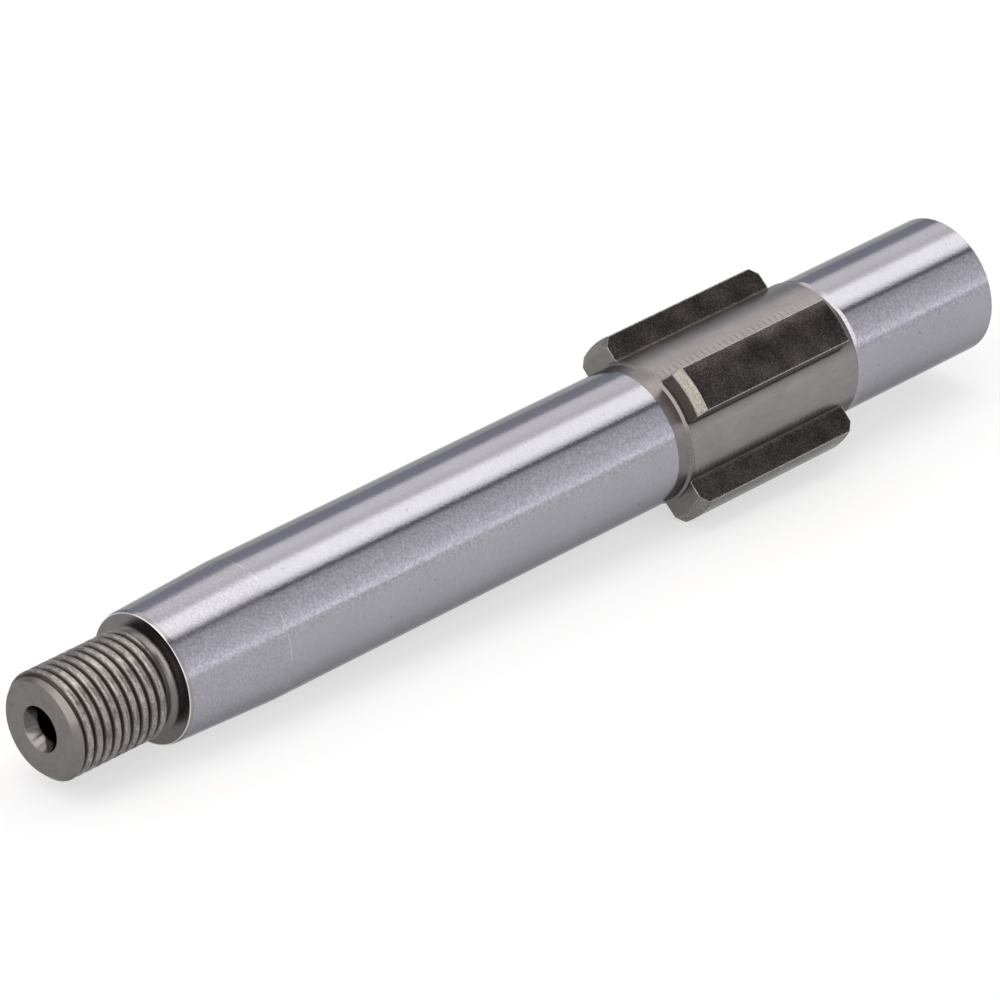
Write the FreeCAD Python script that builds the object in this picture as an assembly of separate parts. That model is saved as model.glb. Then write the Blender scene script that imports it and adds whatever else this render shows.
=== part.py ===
import FreeCAD, Part
import math
import os

# Main shaft of a small gearbox: one steel bar, turned, splined and ground, lying along X.
# The threaded end points to -X and the plain journal to +X, and two of the lands are below.
# The origin is on the axis at the large end of the taper, where the front journal begins.

# Journals, ground to one diameter on both sides of the hub
journal_d = 16.0
front_journal_length = 57.5
rear_journal_length = 21.95
rear_journal_lead = 0.35
rear_end_chamfer = 0.3

# Taper in front of the front journal, with its small end eased for the bore that seats on it
taper_length = 13.15
taper_per_length = 1 / 12
taper_lead_length = 0.52
taper_lead_drop = 0.15

# Threaded stub for the nut that pulls a part up the taper
thread_d = 12.0
thread_pitch = 1.25
thread_length = 12.5
thread_chamfer = 0.8

# Run-out groove between the thread and the face of the taper
thread_relief_length = 1.53
thread_relief_depth = 0.1
thread_relief_fillet = 0.8

# Rough-turned neck between the front journal and the hub, and the slope from it to the hub
neck_d = 15.85
neck_length = 1.75
neck_slope_length = 0.55

# Splined hub: lands with parallel flanks that stand on a round core
land_count = 4
land_width = 5.46
land_length = 24.1
land_d = 22.0
land_chamfer_length = 0.95
land_chamfer_depth = 1.0
core_d = 16.3
core_fillet = 0.42

# Collar that carries the core on behind the lands, and the grinding groove after it
collar_length = 1.95
groove_d = 15.4
groove_length = 0.5

# Centre hole in each end: a 60 degree cone for the lathe centre and a drilled pilot
centre_mouth_d = 5.2
centre_cone_angle = 60.0
centre_pilot_d = 3.6
centre_depth = 5.0
drill_point_angle = 118.0

# Stations along the axis, worked out forwards and backwards from the origin
taper_small_x = -taper_length
taper_face_x = taper_small_x - taper_lead_length
relief_fillet_x = taper_face_x - thread_relief_fillet
thread_back_x = taper_face_x - thread_relief_length
thread_end_x = thread_back_x - thread_length
neck_x = front_journal_length
neck_slope_x = neck_x + neck_length
hub_x = neck_slope_x + neck_slope_length
collar_x = hub_x + land_length
groove_x = collar_x + collar_length
rear_journal_x = groove_x + groove_length
rear_end_x = rear_journal_x + rear_journal_length

# Radii that follow from the sizes above
journal_r = journal_d / 2
thread_r = thread_d / 2
taper_small_r = journal_r - taper_length * taper_per_length / 2
taper_face_r = taper_small_r - taper_lead_drop
thread_root_r = thread_r - thread_pitch * 17 / 24 * math.cos(math.radians(30))
relief_r = thread_root_r - thread_relief_depth
core_r = core_d / 2
land_r = land_d / 2


def revolve(points):
    """A solid turned about X from a closed outline of (x, radius) points."""
    corners = [FreeCAD.Vector(x, 0, r) for x, r in points]
    outline = Part.makePolygon(corners + corners[:1])
    return Part.Face(outline).revolve(FreeCAD.Vector(), FreeCAD.Vector(1, 0, 0), 360)


def turned_bar():
    """The bar as it leaves the lathe, with a plain collar where the lands will be cut."""
    return revolve([
        (thread_end_x, 0),
        (thread_end_x, thread_r - thread_chamfer),
        (thread_end_x + thread_chamfer, thread_r),
        (thread_back_x, thread_r),
        (thread_back_x, relief_r),
        (taper_face_x, relief_r),
        (taper_face_x, taper_face_r),
        (taper_small_x, taper_small_r),
        (0, journal_r),
        (neck_x, journal_r),
        (neck_x, neck_d / 2),
        (neck_slope_x, neck_d / 2),
        (hub_x, core_r),
        (hub_x, land_r - land_chamfer_depth),
        (hub_x + land_chamfer_length, land_r),
        (collar_x - land_chamfer_length, land_r),
        (collar_x, land_r - land_chamfer_depth),
        (collar_x, core_r),
        (groove_x, core_r),
        (groove_x, groove_d / 2),
        (rear_journal_x, groove_d / 2),
        (rear_journal_x, journal_r - rear_journal_lead),
        (rear_journal_x + rear_journal_lead, journal_r),
        (rear_end_x - rear_end_chamfer, journal_r),
        (rear_end_x, journal_r - rear_end_chamfer),
        (rear_end_x, 0),
    ])


def relief_fillet():
    """The ring that rounds the corner between the run-out groove and the taper's face."""
    corner = FreeCAD.Vector(taper_face_x, 0, relief_r)
    on_floor = FreeCAD.Vector(relief_fillet_x, 0, relief_r)
    on_face = FreeCAD.Vector(taper_face_x, 0, relief_r + thread_relief_fillet)
    middle = FreeCAD.Vector(
        relief_fillet_x + thread_relief_fillet * math.sin(math.radians(45)),
        0,
        relief_r + thread_relief_fillet * (1 - math.cos(math.radians(45))),
    )
    outline = Part.Wire([
        Part.LineSegment(on_face, corner).toShape(),
        Part.LineSegment(corner, on_floor).toShape(),
        Part.Arc(on_floor, middle, on_face).toShape(),
    ])
    return Part.Face(outline).revolve(FreeCAD.Vector(), FreeCAD.Vector(1, 0, 0), 360)


def across(radius, angle):
    """A point in the plane of the hub's front face, at an angle about the axis from +Y."""
    return FreeCAD.Vector(hub_x, radius * math.cos(angle), radius * math.sin(angle))


def space_between_lands(land_angle, next_angle):
    """What the cutter takes out between one land and the next, with rounded root corners."""
    half_width = land_width / 2
    cut_r = land_r + land_width
    fillet_centre_r = core_r + core_fillet
    fillet_angle = math.asin((half_width + core_fillet) / fillet_centre_r)
    flank_foot = fillet_centre_r * math.cos(fillet_angle)
    flank_foot_r = math.hypot(flank_foot, half_width)
    flank_foot_angle = math.atan2(half_width, flank_foot)
    flank_top_angle = math.asin(half_width / cut_r)

    def fillet(side_angle, turn):
        """One root corner, from the flank's foot to the core."""
        foot = across(flank_foot_r, side_angle + turn * flank_foot_angle)
        end = across(core_r, side_angle + turn * fillet_angle)
        centre = across(fillet_centre_r, side_angle + turn * fillet_angle)
        bulge = (foot + end) * 0.5 - centre
        middle = centre + bulge * (core_fillet / bulge.Length)
        return foot, middle, end

    foot, foot_middle, core_start = fillet(land_angle, 1)
    next_foot, next_middle, core_end = fillet(next_angle, -1)
    top = across(cut_r, land_angle + flank_top_angle)
    next_top = across(cut_r, next_angle - flank_top_angle)
    halfway = (land_angle + next_angle) / 2
    outline = Part.Wire([
        Part.LineSegment(top, foot).toShape(),
        Part.Arc(foot, foot_middle, core_start).toShape(),
        Part.Arc(core_start, across(core_r, halfway), core_end).toShape(),
        Part.Arc(core_end, next_middle, next_foot).toShape(),
        Part.LineSegment(next_foot, next_top).toShape(),
        Part.Arc(next_top, across(cut_r, halfway), top).toShape(),
    ])
    return Part.Face(outline).extrude(FreeCAD.Vector(land_length, 0, 0))


def centre_hole(face_x, inward):
    """The hole for a lathe centre in one end face, drilled along X towards inward."""
    mouth_r = centre_mouth_d / 2
    pilot_r = centre_pilot_d / 2
    cone_depth = (mouth_r - pilot_r) / math.tan(math.radians(centre_cone_angle / 2))
    point_depth = pilot_r / math.tan(math.radians(drill_point_angle / 2))
    return revolve([
        (face_x, 0),
        (face_x, mouth_r),
        (face_x + inward * cone_depth, pilot_r),
        (face_x + inward * centre_depth, pilot_r),
        (face_x + inward * (centre_depth + point_depth), 0),
    ])


def main_shaft():
    """The whole shaft as one solid."""
    shaft = turned_bar().fuse(relief_fillet())
    step = 2 * math.pi / land_count
    for land in range(land_count):
        land_angle = (land + 0.5) * step
        shaft = shaft.cut(space_between_lands(land_angle, land_angle + step))
    shaft = shaft.cut(centre_hole(thread_end_x, 1))
    shaft = shaft.cut(centre_hole(rear_end_x, -1))
    return shaft.removeSplitter()


os.makedirs("parts", exist_ok=True)
main_shaft().exportStep("parts/main_shaft.step")
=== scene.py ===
import math

import bmesh
import bpy
import numpy as np
from mathutils import Euler, Matrix, Vector


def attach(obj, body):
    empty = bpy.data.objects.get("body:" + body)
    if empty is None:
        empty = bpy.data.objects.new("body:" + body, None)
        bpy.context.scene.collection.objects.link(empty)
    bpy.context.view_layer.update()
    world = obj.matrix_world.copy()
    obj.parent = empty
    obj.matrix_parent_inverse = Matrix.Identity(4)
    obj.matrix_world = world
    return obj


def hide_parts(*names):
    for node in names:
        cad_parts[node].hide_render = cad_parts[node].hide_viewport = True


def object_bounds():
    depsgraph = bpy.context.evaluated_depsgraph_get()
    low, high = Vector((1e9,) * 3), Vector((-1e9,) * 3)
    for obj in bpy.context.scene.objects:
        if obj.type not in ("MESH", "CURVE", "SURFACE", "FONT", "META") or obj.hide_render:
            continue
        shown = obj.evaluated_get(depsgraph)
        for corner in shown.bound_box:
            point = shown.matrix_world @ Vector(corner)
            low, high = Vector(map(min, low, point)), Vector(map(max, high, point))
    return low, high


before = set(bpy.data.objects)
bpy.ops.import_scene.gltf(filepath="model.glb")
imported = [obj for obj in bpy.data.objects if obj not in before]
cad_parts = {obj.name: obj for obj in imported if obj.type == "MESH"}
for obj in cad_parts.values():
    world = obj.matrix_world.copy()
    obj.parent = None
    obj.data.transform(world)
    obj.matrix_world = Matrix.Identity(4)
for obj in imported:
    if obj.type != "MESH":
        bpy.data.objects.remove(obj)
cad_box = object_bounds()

MM = 0.001

# Splined hub: four lands with parallel sides, left standing where the spaces between them are
# hobbed out of the bar. The shaft is one bar of hardened steel, so each section below adds a
# stretch of the same skin. The hub comes first, because its outline sets the columns of points.

hub_x = 59.8 * MM
land_length = 24.1 * MM
land_count = 4
land_r = 11.0 * MM
land_half_width = 2.73 * MM
land_chamfer_length = 0.95 * MM
land_chamfer_depth = 1.0 * MM
land_edge = 0.11 * MM
core_r = 8.15 * MM
core_fillet = 0.42 * MM
hub_end_x = hub_x + land_length

top_steps = 10
edge_steps = 3
flank_steps = 3
fillet_steps = 5
core_steps = 16
side_steps = top_steps + edge_steps + flank_steps + fillet_steps + core_steps

bar = bmesh.new()
finishes = []


def eased(outline, radius, steps=3):
    """The outline's points, with every corner between its two ends rounded off."""
    points = [Vector(point) for point in outline]
    smooth = [points[0]]
    for before, corner, after in zip(points, points[1:], points[2:]):
        back = before - corner
        onward = after - corner
        start = corner + back.normalized() * min(radius, back.length * 0.45)
        end = corner + onward.normalized() * min(radius, onward.length * 0.45)
        for step in range(steps + 1):
            share = step / steps
            smooth.append(start.lerp(corner, share).lerp(corner.lerp(end, share), share))
    return smooth + [points[-1]]


def skin(rings, finish, columns=None):
    """Faces between each ring of points and the next, all of one finish."""
    if finish not in finishes:
        finishes.append(finish)
    rows = [[bar.verts.new(point) for point in ring] for ring in rings]
    for row, next_row in zip(rows, rows[1:]):
        for column in columns or range(len(row)):
            beside = (column + 1) % len(row)
            face = bar.faces.new((row[column], row[beside], next_row[beside], next_row[column]))
            face.material_index = finishes.index(finish)
            face.smooth = True


def on_circle(radius, angle):
    """A point across the axis, at an angle from its first direction."""
    return Vector((radius * math.cos(angle), radius * math.sin(angle)))


def on_bar(x, radius, angle):
    """A point on the bar, at an angle about the axis from +Y."""
    return Vector((x, *on_circle(radius, angle)))


def land_side(top_r, top_half_width):
    """From the middle of a land to the middle of the space beside it, as (outward, across) points."""
    corner = Vector((math.sqrt(top_r ** 2 - top_half_width ** 2), top_half_width))
    top_angle = math.asin((top_half_width - land_edge) / top_r)
    fillet_angle = math.asin((land_half_width + core_fillet) / (core_r + core_fillet))
    fillet_centre = on_circle(core_r + core_fillet, fillet_angle)
    foot = fillet_centre - Vector((0, core_fillet))
    below_edge = corner + (foot - corner).normalized() * land_edge
    top = [on_circle(top_r, top_angle * step / top_steps) for step in range(top_steps + 1)]
    edge = eased([top[-1], corner, below_edge], land_edge, edge_steps)[2:-2]
    flank = [below_edge.lerp(foot, step / flank_steps) for step in range(flank_steps)]
    fillet_turn = math.pi / 2 - fillet_angle
    fillet = [
        fillet_centre - Vector((math.sin(turn), math.cos(turn))) * core_fillet
        for turn in (fillet_turn * step / fillet_steps for step in range(fillet_steps))
    ]
    core_turn = math.pi / land_count - fillet_angle
    core = [
        on_circle(core_r, fillet_angle + core_turn * step / core_steps)
        for step in range(core_steps + 1)
    ]
    return top + edge + flank + fillet + core


def land_outline(top_r, top_half_width):
    """A whole land with half a space on each side."""
    side = land_side(top_r, top_half_width)
    return [Vector((point.x, -point.y)) for point in reversed(side[1:])] + side[:-1]


land_angles = [(land + 0.5) * 2 * math.pi / land_count for land in range(land_count)]
hub_angles = [
    angle + math.atan2(point.y, point.x)
    for angle in land_angles
    for point in land_outline(land_r, land_half_width)
]
column_count = len(hub_angles)


def hub_ring(x, top_r):
    """The hub's outline at x, with the flanks' ends eased like their edges."""
    inside = max(0.0, min(x - hub_x, hub_end_x - x, land_edge))
    top_half_width = land_half_width - land_edge + math.sqrt(inside * (2 * land_edge - inside))
    outline = land_outline(top_r, top_half_width)
    return [
        Vector((x, *(Matrix.Rotation(angle, 2) @ point)))
        for angle in land_angles
        for point in outline
    ]


def turned_ring(x, radius, drift=0.0):
    """A circle about the axis, its points evenly spaced at drift 0 and at the hub's angles at 1."""
    ring = []
    for column, hub_angle in enumerate(hub_angles):
        even_angle = 2 * math.pi * column / column_count
        angle = even_angle + (hub_angle - even_angle) * drift
        ring.append(on_bar(x, radius, angle))
    return ring


def turned(outline, finish, ease=0.06 * MM, drift=(0.0, 0.0)):
    """A stretch that the lathe leaves, from an outline of (x, radius) points."""
    points = eased(outline, ease)
    start_x, end_x = points[0].x, points[-1].x
    rings = []
    for x, radius in points:
        share = (x - start_x) / (end_x - start_x)
        rings.append(turned_ring(x, radius, drift[0] + (drift[1] - drift[0]) * share))
    skin(rings, finish)


class Wire:
    """A value in a node tree. Arithmetic written with it adds Math nodes."""

    def __init__(self, tree, socket=None):
        self.tree = tree
        self.socket = socket

    def node(self, kind, settings=(), sockets=(), out=0):
        """A new node in the same tree: first its settings, then its sockets' values or links."""
        made = self.tree.nodes.new(kind)
        for name, setting in dict(settings).items():
            if name == "stops":
                while len(made.color_ramp.elements) < len(setting):
                    made.color_ramp.elements.new(1.0)
                for element, (position, colour) in zip(made.color_ramp.elements, setting):
                    element.position = position
                    element.color = (*colour, 1.0)
            else:
                setattr(made, name, setting)
        for name, value in dict(sockets).items():
            if isinstance(value, Wire):
                self.tree.links.new(value.socket, made.inputs[name])
            else:
                made.inputs[name].default_value = value
        return Wire(self.tree, made.outputs[out] if made.outputs else None)

    def maths(self, operation, first, second=0.0):
        return self.node("ShaderNodeMath", {"operation": operation}, {0: first, 1: second})

    def __add__(self, other):
        return self.maths("ADD", self, other)

    def __radd__(self, other):
        return self.maths("ADD", other, self)

    def __sub__(self, other):
        return self.maths("SUBTRACT", self, other)

    def __rsub__(self, other):
        return self.maths("SUBTRACT", other, self)

    def __mul__(self, other):
        return self.maths("MULTIPLY", self, other)

    def __rmul__(self, other):
        return self.maths("MULTIPLY", other, self)

    def __mod__(self, other):
        return self.maths("FLOORED_MODULO", self, other)

    def __pow__(self, other):
        return self.maths("POWER", self, other)

    def __abs__(self):
        return self.maths("ABSOLUTE", self)

    def either(self, other):
        """The larger of two values."""
        return self.maths("MAXIMUM", self, other)

    def angle_over(self, level):
        """The angle in degrees of a slope that climbs by this value over a level distance."""
        return self.maths("ARCTAN2", self, level) * (180 / math.pi)

    def rise(self, low, high):
        """0 up to low and 1 from high on, with a soft rise between them."""
        sockets = {"Value": self, "From Min": low, "From Max": high}
        return self.node("ShaderNodeMapRange", {"interpolation_type": "SMOOTHSTEP"}, sockets)

    def near(self, place, width):
        """1 at a place, and 0 from width away on both sides."""
        return 1 - abs(self - place).rise(0.0, width)

    def colour(self, low, high):
        """A colour that goes from low at 0 to high at 1."""
        ends = [end if isinstance(end, Wire) else (*end, 1.0) for end in (low, high)]
        sockets = {0: self, 6: ends[0], 7: ends[1]}
        return self.node("ShaderNodeMix", {"data_type": "RGBA"}, sockets, out=2)


class Finish:
    """A steel finish, and the places on the bar that its marks follow."""

    def __init__(self, name):
        self.material = bpy.data.materials.new(name)
        self.material.use_nodes = True
        self.material.node_tree.nodes.clear()
        self.place = Wire(self.material.node_tree).node("ShaderNodeTexCoord", out="Object")
        split = {"Vector": self.place}
        axes = (self.place.node("ShaderNodeSeparateXYZ", (), split, axis) for axis in range(3))
        self.x, self.y, self.z = axes
        self.radius = (self.y * self.y + self.z * self.z) ** 0.5

    def grain(self, per_mm, detail=2.0, roughness=0.5):
        """Even-sided grains, so many to a millimetre."""
        sockets = {"Vector": self.place, "Scale": per_mm / MM, "Detail": detail, "Roughness": roughness}
        return self.place.node("ShaderNodeTexNoise", (), sockets)

    def lines(self, per_mm, round_per_mm, detail=2.0):
        """Fine lines round the axis, on cylinders, cones and end faces alike."""
        along = (self.x + self.radius) * (per_mm / MM)
        sockets = {"X": along, "Y": self.y * (round_per_mm / MM), "Z": self.z * (round_per_mm / MM)}
        place = self.place.node("ShaderNodeCombineXYZ", (), sockets)
        sockets = {"Vector": place, "Scale": 1.0, "Detail": detail}
        return self.place.node("ShaderNodeTexNoise", (), sockets)

    def lay(self, colour, roughness, relief, depth_mm, rim=0.65):
        """Joins up the shader. Relief is the height of the marks, from 0 to 1, and depth its full
        size. Rim is how light the steel turns where it is seen at a flat angle."""
        bump = self.place.node("ShaderNodeBump", (), {"Height": relief, "Distance": depth_mm * MM})
        surface = {
            "Base Color": colour,
            "Roughness": roughness,
            "Metallic": 1.0,
            "Specular Tint": (rim, rim, rim, 1.0),
            "Normal": bump,
        }
        shader = self.place.node("ShaderNodeBsdfPrincipled", (), surface)
        self.place.node("ShaderNodeOutputMaterial", (), {"Surface": shader})
        return self.material


hub_middle_x = (hub_x + hub_end_x) / 2
land_corner_out = math.sqrt(land_r ** 2 - land_half_width ** 2)
oxide_black = (0.018, 0.016, 0.017)
oxide_brown = (0.10, 0.085, 0.078)
worn_edge = (0.36, 0.34, 0.32)
wear_width = 0.16 * MM


def land_finish():
    """Black oxide from hardening, grainy, and worn to bare metal along the lands' edges."""
    finish = Finish("land_steel")
    grain = finish.grain(5.0, 4.0, 0.75)
    cloud = finish.grain(0.35, 3.0)
    oxide = (grain * 0.8 + cloud * 0.35).rise(0.42, 0.82).colour(oxide_black, oxide_brown)
    outward = (abs(finish.y) + abs(finish.z)) * math.sqrt(0.5)
    across = abs(abs(finish.y) - abs(finish.z)) * math.sqrt(0.5)
    from_middle = abs(finish.x - hub_middle_x)
    top_edge = outward.rise(land_corner_out - wear_width, land_corner_out - 0.04 * MM)
    side_edge = across.rise(land_half_width - 0.15 * MM, land_half_width - 0.03 * MM)
    end_edge = from_middle.rise(land_length / 2 - wear_width, land_length / 2 - 0.06 * MM)
    wear = (top_edge * side_edge).either(end_edge) * grain.rise(0.25, 0.6)
    return finish.lay(wear.colour(oxide, worn_edge), 0.18 + grain * 0.16, grain, 0.01, 1.0)


space_dark = (0.17, 0.16, 0.157)
space_light = (0.305, 0.292, 0.29)
shade_beside_land = (0.115, 0.102, 0.098)
dark_until = 17.0
light_from = 29.0
tick_colour = (0.125, 0.116, 0.111)
tick_spacing = 0.88 * MM
tick_width = 0.17 * MM
tick_row = 18.0
tick_row_width = 5.5


def core_finish():
    """Smooth grey metal between the lands, with painted shade beside them. The hob has left a row of
    small marks along one side of each space, which fades out at the rear."""
    finish = Finish("core_steel")
    streaks = finish.lines(0.6, 4.0)
    cloud = finish.grain(0.3, 3.0)
    metal = (streaks * 0.5 + cloud * 0.5).colour(space_dark, space_light)
    past_space = finish.z.angle_over(finish.y) % (360 / land_count)
    from_land = abs(past_space - 180 / land_count)
    # Painted shade: the core darkens towards each land, where the land's flank shades it.
    metal = from_land.rise(dark_until, light_from).colour(shade_beside_land, metal)
    fading = finish.x.rise(hub_end_x - 0.5 * MM, hub_end_x - 5.0 * MM)
    along = (finish.x + streaks * 0.3 * MM) % tick_spacing
    tick = along.near(tick_spacing / 2, tick_width) * past_space.near(tick_row, tick_row_width) * fading
    return finish.lay(tick.colour(metal, tick_colour), 0.26 + cloud * 0.1, streaks - tick, 0.003)


middle_x = (cad_box[0][0] + cad_box[1][0]) / 2
half_length = (cad_box[1][0] - cad_box[0][0]) / 2
centre_mouth_r = 2.6 * MM
centre_pilot_r = 1.8 * MM
turned_dark = (0.11, 0.102, 0.1)
turned_light = (0.25, 0.234, 0.231)
cone_shade_colour = (0.1, 0.094, 0.09)
pilot_shade_colour = (0.02, 0.017, 0.015)


def turned_finish():
    """Turned steel with the tool's lines and a few stains. The centre holes are smooth, with painted
    shade over the cone except its lower part, and painted shade, near black, in the pilot."""
    finish = Finish("turned_steel")
    lines = finish.lines(12.0, 0.3)
    stain = finish.grain(0.8, 5.0, 0.65)
    metal = (lines * 0.35 + stain * 0.65).colour(turned_dark, turned_light)
    from_end = half_length - abs(finish.x - middle_x)
    # Painted shade, near black, deep in the pilot hole.
    in_pilot = 1 - finish.radius.rise(centre_pilot_r + 0.05 * MM, centre_pilot_r + 0.3 * MM)
    in_pilot = in_pilot * from_end.rise(1.0 * MM, 1.5 * MM)
    in_hole = 1 - finish.radius.rise(centre_mouth_r - 0.1 * MM, centre_mouth_r)
    in_hole = in_hole * from_end.rise(0.02 * MM, 0.1 * MM)
    # Painted shade over the cone, all but its lower part, which keeps the plain metal colour.
    shaded_cone = in_hole * finish.z.rise(-1.6 * MM, -1.2 * MM)
    metal = in_pilot.colour(shaded_cone.colour(metal, cone_shade_colour), pilot_shade_colour)
    return finish.lay(metal, 0.2 + stain * 0.18 - in_hole * 0.14, lines, 0.004)


chamfer_dark = (0.13, 0.12, 0.112)
chamfer_light = (0.30, 0.285, 0.268)


def chamfer_finish():
    """Bright turned steel on the lands' chamfers, cut after hardening."""
    finish = Finish("chamfer_steel")
    lines = finish.lines(10.0, 0.4)
    grain = finish.grain(5.0, 3.0)
    metal = (lines * 0.4 + grain * 0.6).rise(0.3, 0.7).colour(chamfer_dark, chamfer_light)
    return finish.lay(metal, 0.28 + lines * 0.1, grain, 0.004)


land_steel = land_finish()
core_steel = core_finish()
turned_steel = turned_finish()
chamfer_steel = chamfer_finish()

face_r = land_r - land_chamfer_depth
between_r = (core_r + face_r) / 2
land_profile = eased(
    [
        (hub_x, between_r),
        (hub_x, face_r),
        (hub_x + land_chamfer_length, land_r),
        (hub_end_x - land_chamfer_length, land_r),
        (hub_end_x, face_r),
        (hub_end_x, between_r),
    ],
    land_edge,
)
hub_rings = [hub_ring(x, top_r) for x, top_r in land_profile]
core_ring = turned_ring(hub_x, core_r, 1.0)
core_end_ring = turned_ring(hub_end_x, core_r, 1.0)


def columns_within(first, last):
    """The columns of faces that lie between two counts of steps from the middle of a land."""
    steps = [abs(column % (2 * side_steps) + 0.5 - side_steps) for column in range(column_count)]
    return [column for column, step in enumerate(steps) if first < step < last]


top_columns = columns_within(0, top_steps + edge_steps)
core_start = top_steps + edge_steps + flank_steps + fillet_steps - 2
flank_columns = columns_within(top_steps + edge_steps, core_start)
core_columns = columns_within(core_start, side_steps)
front_edge_ring = 6
rear_edge_ring = 11

skin([core_ring] + hub_rings[:2], turned_steel)
skin(hub_rings[1 : front_edge_ring + 1], chamfer_steel, top_columns)
skin(hub_rings[front_edge_ring : rear_edge_ring + 1], land_steel, top_columns)
skin(hub_rings[rear_edge_ring:-1], chamfer_steel, top_columns)
skin(hub_rings[1:-1], land_steel, flank_columns)
skin(hub_rings[1:-1], core_steel, core_columns)
skin(hub_rings[-2:] + [core_end_ring], turned_steel)

# Neck: the short stretch that the grinding wheel doesn't reach, between the front journal and
# the hub. It is rough-turned, and ends in a small bright ring at the foot of the lands.

neck_x = 57.5 * MM
neck_r = 7.925 * MM
neck_length = 1.75 * MM
ring_r = 8.2 * MM
ring_width = 0.3 * MM
ring_x = hub_x - ring_width
journal_r = 8.0 * MM
neck_seam_r = (neck_r + journal_r) / 2

turned(
    [
        (neck_x, neck_seam_r),
        (neck_x, neck_r),
        (neck_x + neck_length, neck_r),
        (ring_x, ring_r),
    ],
    turned_steel,
    drift=(0.0, 1.0),
)
turned(
    [(ring_x, ring_r), (hub_x - ring_width * 0.3, ring_r), (hub_x, core_r)],
    chamfer_steel,
    drift=(1.0, 1.0),
)

# Front journal and taper: ground to size and bright, for the bearing and for the part that the
# nut pulls onto the taper. The taper's small end is eased, so that the part starts easily.

taper_length = 13.15 * MM
taper_small_r = journal_r - taper_length / 24
taper_lead_length = 0.52 * MM
taper_lead_drop = 0.15 * MM
taper_face_x = -taper_length - taper_lead_length
taper_face_r = taper_small_r - taper_lead_drop
taper_seam_r = (taper_face_r + taper_small_r) / 2 - taper_lead_drop

ground_dark = (0.298, 0.297, 0.325)
ground_light = (0.345, 0.343, 0.374)
frost_dark = (0.272, 0.268, 0.294)
frost_light = (0.388, 0.383, 0.415)
pit_colour = (0.18, 0.17, 0.18)
stain_colour = (0.29, 0.262, 0.262)
rubbed_colour = (0.5, 0.5, 0.52)
lead_colour = (0.27, 0.258, 0.258)
lead_edge_colour = (0.62, 0.6, 0.58)
handled_low_z = 1.2 * MM
handled_high_z = 5.8 * MM
handled_y = -3.0 * MM
stain_x = -1.2 * MM
stain_width = 2.6 * MM
rubbed_width = 0.16 * MM


def ground_finish():
    """Ground steel: a fine grain drawn out round the bar, frosted by handling on one side and on
    the taper, with a few small pits and a stain where the taper meets the journal."""
    finish = Finish("ground_steel")
    lines = finish.lines(3.5, 1.4, 3.0)
    grain = finish.grain(4.2, 3.0, 0.6)
    cloud = finish.grain(0.1)
    speckle = finish.grain(3.2, 3.0, 0.65)
    marks = lines * 0.5 + grain * 0.5
    plain = (marks * 0.7 + cloud * 0.3).rise(0.3, 0.7).colour(ground_dark, ground_light)
    frosted = (speckle * 0.8 + lines * 0.2).rise(0.36, 0.68).colour(frost_dark, frost_light)
    side = finish.z.rise(handled_low_z, handled_low_z + 1.6 * MM)
    side = side * (1 - finish.z.rise(handled_high_z, handled_high_z + 0.6 * MM))
    side = side * (1 - finish.y.rise(handled_y, handled_y + 2.0 * MM))
    on_taper = 1 - finish.x.rise(-0.8 * MM, 0.2 * MM)
    metal = side.either(on_taper * 0.5).colour(plain, frosted)
    pits = finish.grain(1.3, 2.0).rise(0.68, 0.84)
    metal = pits.colour(metal, pit_colour)
    stain = finish.x.near(stain_x, stain_width) * finish.grain(0.45, 3.0).rise(0.5, 0.62) * side
    metal = (stain * 0.7).colour(metal, stain_colour)
    rubbed = finish.x.near(0.0, rubbed_width) * finish.grain(0.4).rise(0.45, 0.55)
    metal = (rubbed * 0.5).colour(metal, rubbed_colour)
    lead = 1 - finish.x.rise(-taper_length - 0.12 * MM, -taper_length)
    edge = 1 - finish.x.rise(taper_face_x + 0.05 * MM, taper_face_x + 0.16 * MM)
    metal = lead.colour(metal, edge.colour(lead_colour, lead_edge_colour))
    return finish.lay(metal, 0.1 + grain * 0.06 + on_taper * 0.04, marks, 0.013, 0.54)


ground_steel = ground_finish()
turned(
    [
        (taper_face_x, taper_seam_r),
        (taper_face_x, taper_face_r),
        (-taper_length, taper_small_r),
        (0, journal_r),
        (neck_x, journal_r),
        (neck_x, neck_seam_r),
    ],
    ground_steel,
)

# Threaded stub: a fine right-hand thread, M12 x 1.25, for the nut that holds a part on the taper.
# It is cut on the turned bar between a chamfer and a run-out groove, and its crests are left wide.

thread_r = 6.0 * MM
pitch = 1.25 * MM
thread_depth = 0.52 * MM
crest_width = 0.5 * MM
root_width = 0.15 * MM
crest_x = -16.569 * MM
thread_back_x = -15.2 * MM
thread_end_x = -27.7 * MM
thread_chamfer = 0.8 * MM
relief_r = 5.133 * MM
relief_fillet = 0.8 * MM
thread_edge = 0.07 * MM
slope_width = (pitch - crest_width - root_width) / 2
crest_dark = (0.125, 0.114, 0.108)
crest_light = (0.40, 0.374, 0.36)
groove_shade_colour = (0.06, 0.052, 0.048)


def thread_finish():
    """Cut thread: grainy bare crests, and painted shade in the groove."""
    finish = Finish("thread_steel")
    grain = finish.lines(5.0, 1.3, 4.0) * 0.5 + finish.grain(4.0, 4.0, 0.7) * 0.5
    stain = finish.grain(0.6, 3.0)
    # Painted shade: the steel darkens with depth into the thread's groove.
    groove = (thread_r - finish.radius).rise(thread_edge, thread_depth * 0.6)
    bare = (grain * 0.7 + stain * 0.3).rise(0.36, 0.66).colour(crest_dark, crest_light)
    return finish.lay(groove.colour(bare, groove_shade_colour), 0.26 + grain * 0.15, grain, 0.014)


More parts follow.
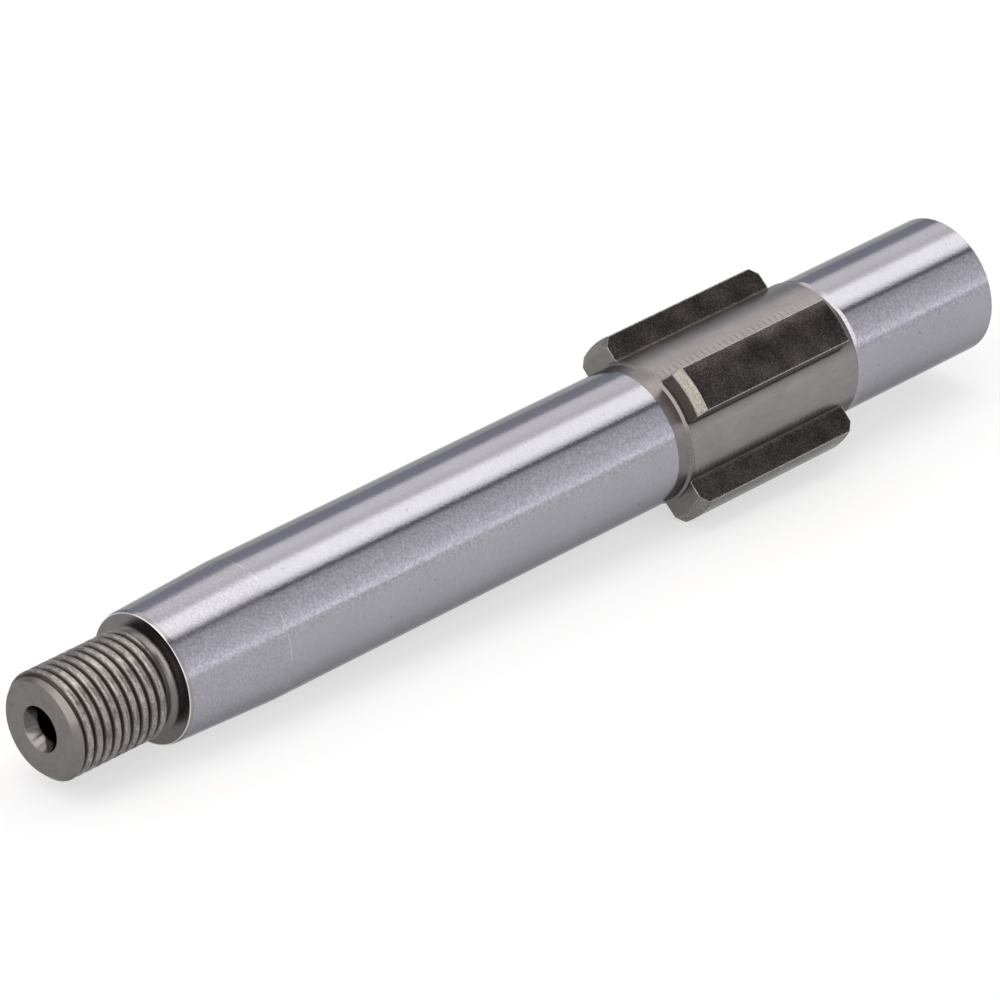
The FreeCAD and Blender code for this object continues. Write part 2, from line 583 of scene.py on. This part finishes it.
thread_steel = thread_finish()
thread_profile = eased(
    [
        (0, 0),
        (crest_width / 2, 0),
        (crest_width / 2 + slope_width, -thread_depth),
        (pitch - crest_width / 2 - slope_width, -thread_depth),
        (pitch - crest_width / 2, 0),
        (pitch, 0),
    ],
    thread_edge,
    2,
)


def thread_surface(x, angle):
    """The thread's radius at a place on the bar, with the chamfer taken off its first turns."""
    offset = (x - crest_x - pitch * angle / (2 * math.pi)) % pitch
    height = np.interp(offset, *zip(*thread_profile))
    return min(thread_r + height, thread_r - thread_chamfer + x - thread_end_x)


def thread_rings(from_x, to_x):
    """Rings that climb with the thread, and are held flat at both ends of a stretch."""
    first_turn = math.floor((from_x - crest_x) / pitch) - 1
    last_turn = math.ceil((to_x - crest_x) / pitch) + 1
    rings = []
    for turn in range(first_turn, last_turn):
        for offset, _ in thread_profile[:-1]:
            ring = []
            for column in range(column_count + 1):
                angle = 2 * math.pi * column / column_count
                x = crest_x + pitch * turn + offset + pitch * angle / (2 * math.pi)
                x = min(max(x, from_x), to_x)
                ring.append(on_bar(x, thread_surface(x, angle), angle))
            rings.append(ring)
    return rings


chamfer_end_x = thread_end_x + thread_chamfer
chamfer_rim = 0.12 * MM
chamfer_start_x = thread_end_x + chamfer_rim
chamfer_start_r = thread_r - thread_chamfer + chamfer_rim
skin(thread_rings(chamfer_start_x, chamfer_end_x), turned_steel, range(column_count))
skin(thread_rings(chamfer_end_x, thread_back_x), thread_steel, range(column_count))

back_angles = [2 * math.pi * column / column_count for column in range(column_count)]
back_ring = [
    on_bar(thread_back_x, thread_surface(thread_back_x, angle), angle)
    for angle in back_angles
]
skin([back_ring, turned_ring(thread_back_x, relief_r)], turned_steel)

relief_fillet_steps = 12
fillet_rings = []
for step in range(relief_fillet_steps + 1):
    turn = math.pi / 2 * step / relief_fillet_steps
    x = taper_face_x - relief_fillet * (1 - math.sin(turn))
    fillet_rings.append(turned_ring(x, relief_r + relief_fillet * (1 - math.cos(turn))))
skin(
    [turned_ring(thread_back_x, relief_r)] + fillet_rings + [turned_ring(taper_face_x, taper_seam_r)],
    turned_steel,
)

# Front end: the turned face of the stub, and the centre hole that is drilled into it. The steel
# bar was turned and ground between two such holes, and their cones are left smooth.

centre_depth = 5.0 * MM
centre_cone_depth = (centre_mouth_r - centre_pilot_r) / math.tan(math.radians(30))
centre_point_depth = centre_pilot_r / math.tan(math.radians(59))


def centre_hole(face_x, inward, rim):
    """An end face and its centre hole, from the drill's point out to the given rim points."""
    turned(
        [
            (face_x + inward * (centre_depth + centre_point_depth), 0),
            (face_x + inward * centre_depth, centre_pilot_r),
            (face_x + inward * centre_cone_depth, centre_pilot_r),
            (face_x, centre_mouth_r),
        ]
        + rim,
        turned_steel,
    )


centre_hole(
    thread_end_x,
    1,
    [
        (thread_end_x, thread_r - thread_chamfer),
        (chamfer_start_x, chamfer_start_r),
    ],
)

# Collar, grinding groove and rear journal: the collar carries the core on behind the lands, and
# the groove lets the wheel grind the journal up to it. The journal takes the rear bearing.

collar_end_x = hub_end_x + 1.95 * MM
groove_r = 7.7 * MM
groove_length = 0.5 * MM
rear_journal_x = collar_end_x + groove_length
groove_seam_x = rear_journal_x - 0.1 * MM
rear_lead = 0.35 * MM
rear_end_x = rear_journal_x + 21.95 * MM
rear_chamfer = 0.3 * MM
rear_seam_x = rear_end_x - rear_chamfer * 0.5
rear_seam_r = journal_r - rear_chamfer * 0.5
collar_middle_x = (hub_end_x + collar_end_x) / 2

turned([(hub_end_x, core_r), (collar_middle_x, core_r)], core_steel, drift=(1.0, 0.0))
turned(
    [
        (collar_middle_x, core_r),
        (collar_end_x, core_r),
        (collar_end_x, groove_r),
        (groove_seam_x, groove_r),
    ],
    core_steel,
)
turned(
    [
        (groove_seam_x, groove_r),
        (rear_journal_x, journal_r - rear_lead),
        (rear_journal_x + rear_lead, journal_r),
        (rear_end_x - rear_chamfer, journal_r),
        (rear_seam_x, rear_seam_r),
    ],
    ground_steel,
)
centre_hole(rear_end_x, -1, [(rear_end_x, journal_r - rear_chamfer), (rear_seam_x, rear_seam_r)])

# The whole bar: the real shaft is one piece of steel, so the stretches are joined into one closed
# skin, which stands for the solid. Only its true corners are left sharp.

weld_distance = 0.0001 * MM
crease_angle = 38

bmesh.ops.remove_doubles(bar, verts=bar.verts, dist=weld_distance)
bmesh.ops.dissolve_degenerate(bar, edges=bar.edges, dist=weld_distance)
bmesh.ops.recalc_face_normals(bar, faces=bar.faces)
mesh = bpy.data.meshes.new("main_shaft_skin")
bar.to_mesh(mesh)
bar.free()
for finish in finishes:
    mesh.materials.append(finish)
mesh.set_sharp_from_angle(angle=math.radians(crease_angle))
shaft = bpy.data.objects.new("main_shaft_skin", mesh)
bpy.context.scene.collection.objects.link(shaft)
shading = shaft.modifiers.new("even_shading", "WEIGHTED_NORMAL")
shading.keep_sharp = True
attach(shaft, "root")
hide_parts("main_shaft")

# Floor: a plain pale sheet, touching the shaft where it rests: on the edges of two lands and on
# the front edge of the journal, which lies a little higher. It slopes only under the shaft, and
# is level beyond both of its ends.

floor_half = 5.0
land_low = -land_r * math.sin(land_angles[0] + math.asin(land_half_width / land_r))
floor_slope = (land_low + journal_r) / (hub_x + land_chamfer_length)

pale_grey = (0.28, 0.28, 0.28, 1.0)

floor_points = [
    (x, y, -journal_r + floor_slope * min(max(x, thread_end_x), rear_end_x))
    for x in (-floor_half, thread_end_x, rear_end_x, floor_half)
    for y in (-floor_half, floor_half)
]
floor_mesh = bpy.data.meshes.new("floor")
floor_mesh.from_pydata(floor_points, [], [(0, 2, 3, 1), (2, 4, 5, 3), (4, 6, 7, 5)])


def pale_stage(name, mesh, strength):
    """Adds a pale sheet that looks white, both straight and in the steel."""
    pale = bpy.data.materials.new("pale_" + name)
    pale.use_nodes = True
    pale.node_tree.nodes.clear()
    seen = Wire(pale.node_tree).node("ShaderNodeLightPath", out="Is Camera Ray")
    for ray in ("Is Glossy Ray", "Is Transmission Ray"):
        seen = seen + seen.node("ShaderNodeLightPath", out=ray)
    surface = {
        "Base Color": pale_grey,
        "Roughness": 0.9,
        "Emission Color": seen.colour((0, 0, 0), (1, 1, 1)),
        "Emission Strength": strength,
    }
    shader = seen.node("ShaderNodeBsdfPrincipled", (), surface)
    seen.node("ShaderNodeOutputMaterial", (), {"Surface": shader})
    mesh.materials.append(pale)
    sheet = bpy.data.objects.new(name, mesh)
    bpy.context.scene.collection.objects.link(sheet)


pale_stage("floor", floor_mesh, 0.6)

# Backdrop: a low pale wall that stands round the floor. It is what shows behind the shaft when
# it is looked at from its own height.

wall_r = 4.8
wall_foot_z = -0.05
wall_top_z = 0.42
wall_steps = 48

wall_points = [
    (*on_circle(wall_r, 2 * math.pi * step / wall_steps), z)
    for step in range(wall_steps)
    for z in (wall_foot_z, wall_top_z)
]
wall_faces = []
for step in range(wall_steps):
    foot, next_foot = 2 * step, 2 * (step + 1) % (2 * wall_steps)
    wall_faces.append((foot, foot + 1, next_foot + 1, next_foot))
wall_mesh = bpy.data.meshes.new("backdrop")
wall_mesh.from_pydata(wall_points, [], wall_faces)
pale_stage("backdrop", wall_mesh, 0.8)

# Studio light: a long soft box overhead and darker walls beside it, which the ground steel shows
# as bands along the shaft, and a soft box towards the threaded end. Each row of the table holds
# an angle from overhead, towards +Y where it is positive, a level of light there and its tint.

lamp = (1.0, 0.987, 0.963)
wall = (1.0, 0.985, 1.03)
blush = (1.0, 0.955, 0.95)
dusk = (1.0, 1.04, 1.16)
around_shaft = [
    (-90, 0.20, wall),
    (-88.5, 0.20, wall),
    (-86.5, 1.20, wall),
    (-82, 1.45, wall),
    (-79, 1.36, wall),
    (-75, 1.22, wall),
    (-71, 1.06, wall),
    (-63, 1.00, wall),
    (-59, 0.88, wall),
    (-48, 0.84, wall),
    (-38, 0.74, wall),
    (-30, 0.62, wall),
    (-27, 0.45, wall),
    (-25.5, 0.10, wall),
    (-21.5, 0.10, wall),
    (-18.5, 1.00, lamp),
    (-14, 1.60, lamp),
    (-9, 2.05, lamp),
    (11, 2.08, lamp),
    (14, 1.80, lamp),
    (18, 1.22, blush),
    (23, 1.10, blush),
    (34, 1.32, blush),
    (48, 1.36, blush),
    (52, 1.02, blush),
    (56.5, 0.42, dusk),
    (61, 0.48, dusk),
    (75, 0.49, dusk),
    (90, 0.60, dusk),
]
ramp_span = 200
brightest = 2.5
studio_strength = 1.188
front_box_way = (-0.80, -0.40, 0.44)
front_box_edge = (0.85, 0.92)
front_box_colour = (0.84, 0.80, 0.76)

stops = [
    (angle / ramp_span + 0.5, tuple(level / brightest * part for part in tint))
    for angle, level, tint in around_shaft
]
world = bpy.data.worlds.new("studio")
bpy.context.scene.world = world
world.use_nodes = True
world.node_tree.nodes.clear()
way = Wire(world.node_tree).node("ShaderNodeTexCoord", out="Generated")
way_y, way_z = (way.node("ShaderNodeSeparateXYZ", (), {"Vector": way}, axis) for axis in (1, 2))
lean = way_y.angle_over(way_z)
bands = way.node("ShaderNodeValToRGB", {"stops": stops}, {"Fac": lean * (1 / ramp_span) + 0.5})
compared = {0: way, 1: front_box_way}
front = way.node("ShaderNodeVectorMath", {"operation": "DOT_PRODUCT"}, compared, out="Value")
light = front.rise(*front_box_edge).colour(bands, front_box_colour)
glow = way.node("ShaderNodeBackground", (), {"Color": light, "Strength": studio_strength * brightest})
way.node("ShaderNodeOutputWorld", (), {"Surface": glow})

# Camera: a long lens some way off, looking down on the threaded end, so that the shaft runs up and
# away to the right and narrows only a little.

camera_data = bpy.data.cameras.new("camera")
camera_data.lens = 264.88
camera_data.sensor_width = 36.0
camera_data.clip_start = 0.01
camera_data.clip_end = 50.0
camera = bpy.data.objects.new("camera", camera_data)
bpy.context.scene.collection.objects.link(camera)
aim = Vector((38.21, 0.0, 0.24)) * MM
distance = 787.3 * MM
azimuth, elevation, roll = (math.radians(angle) for angle in (-43.838, 27.988, -2.03))
turn = Euler((math.pi / 2 - elevation, 0, azimuth)).to_matrix() @ Matrix.Rotation(roll, 3, "Z")
camera.matrix_world = Matrix.Translation(aim + turn @ Vector((0, 0, distance))) @ turn.to_4x4()
bpy.context.scene.camera = camera
bpy.context.scene.view_settings.view_transform = "Standard"
